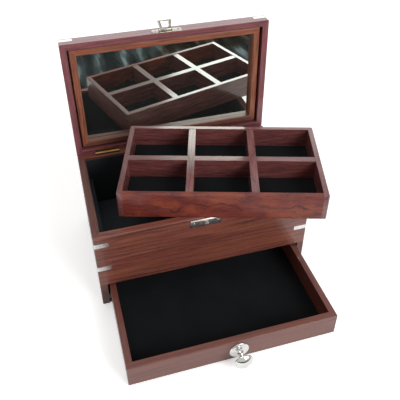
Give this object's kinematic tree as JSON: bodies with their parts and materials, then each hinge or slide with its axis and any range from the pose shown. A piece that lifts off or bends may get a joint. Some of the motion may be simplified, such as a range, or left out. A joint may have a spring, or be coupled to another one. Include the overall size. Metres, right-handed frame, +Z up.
{
  "type": "vanity box with mirror",
  "caption": "Hinged wooden jewellery box with a mirror inside its lid, a drawer below, a lift-out divided tray and a loop catch.",
  "frame": {"origin": "middle of the case's underside", "axes": "+X to the box's right, +Y towards its hinges, +Z up"},
  "size_m": [0.2924, 0.3084, 0.2696],
  "materials": {
    "rosewood": "satin varnish",
    "moulding_wood": "satin varnish",
    "plywood": "raw",
    "black_felt": "short pile felt",
    "mirror": "silvered glass",
    "backing_card": "plain",
    "bright_metal": "polished",
    "hinge_brass": "satin"
  },
  "bodies": {
    "case": {"base_panel": "plywood", "case_back_panel": "rosewood", "case_corner_keys": "bright_metal", "case_front_panel": "rosewood", "case_hinge_screws": "hinge_brass", "case_left_panel": "rosewood", "case_right_panel": "rosewood", "catch_hook_nails": "bright_metal", "catch_hook_plate": "bright_metal", "compartment_felt": "black_felt", "compartment_floor": "plywood", "drawer_guide_left": "plywood", "drawer_guide_right": "plywood", "hinge_left_case_leaf": "hinge_brass", "hinge_pins": "hinge_brass", "hinge_right_case_leaf": "hinge_brass", "lining_back": "black_felt", "lining_front": "black_felt", "lining_left": "black_felt", "lining_right": "black_felt", "tray_rest_left": "black_felt", "tray_rest_right": "black_felt"},
    "lid": {"catch_lid_nails": "bright_metal", "catch_lid_plate": "bright_metal", "catch_pin": "bright_metal", "hinge_left_lid_leaf": "hinge_brass", "hinge_right_lid_leaf": "hinge_brass", "lid_back_rail": "rosewood", "lid_corner_keys": "bright_metal", "lid_front_rail": "rosewood", "lid_hinge_screws": "hinge_brass", "lid_left_rail": "rosewood", "lid_right_rail": "rosewood", "lid_top_panel": "rosewood", "mirror_card": "backing_card", "mirror_glass": "mirror", "mirror_moulding_back": "moulding_wood", "mirror_moulding_front": "moulding_wood", "mirror_moulding_left": "moulding_wood", "mirror_moulding_right": "moulding_wood"},
    "catch_loop": {"catch_loop": "bright_metal"},
    "drawer": {"drawer_back": "rosewood", "drawer_bottom": "plywood", "drawer_felt": "black_felt", "drawer_front": "rosewood", "drawer_left": "rosewood", "drawer_right": "rosewood", "knob": "bright_metal", "knob_backplate": "bright_metal", "knob_screw": "bright_metal"},
    "tray": {"tray_back": "rosewood", "tray_bottom": "plywood", "tray_cross_divider_left": "rosewood", "tray_cross_divider_right": "rosewood", "tray_felts": "black_felt", "tray_front": "rosewood", "tray_left": "rosewood", "tray_long_divider": "rosewood", "tray_right": "rosewood"}
  },
  "joints": [
    {"name": "lid_hinge", "type": "hinge", "parent": "case", "child": "lid", "pos_m": [0, 0.0772, 0.105], "axis": [1, 0, 0], "range_deg": [0, 9]},
    {"name": "catch_loop_pivot", "type": "hinge", "parent": "lid", "child": "catch_loop", "pos_m": [-0.0018, 0.08693, 0.26145], "axis": [1, 0, 0], "range_deg": [-25, 140]},
    {"name": "drawer_slide", "type": "slide", "parent": "case", "child": "drawer", "axis": [0, -1, 0], "range_m": [-0.111, 0.008]},
    {"name": "tray_lift", "type": "slide", "parent": "case", "child": "tray", "axis": [0, -0.5, 0.866], "range_m": [0, 0.08]}
  ]
}
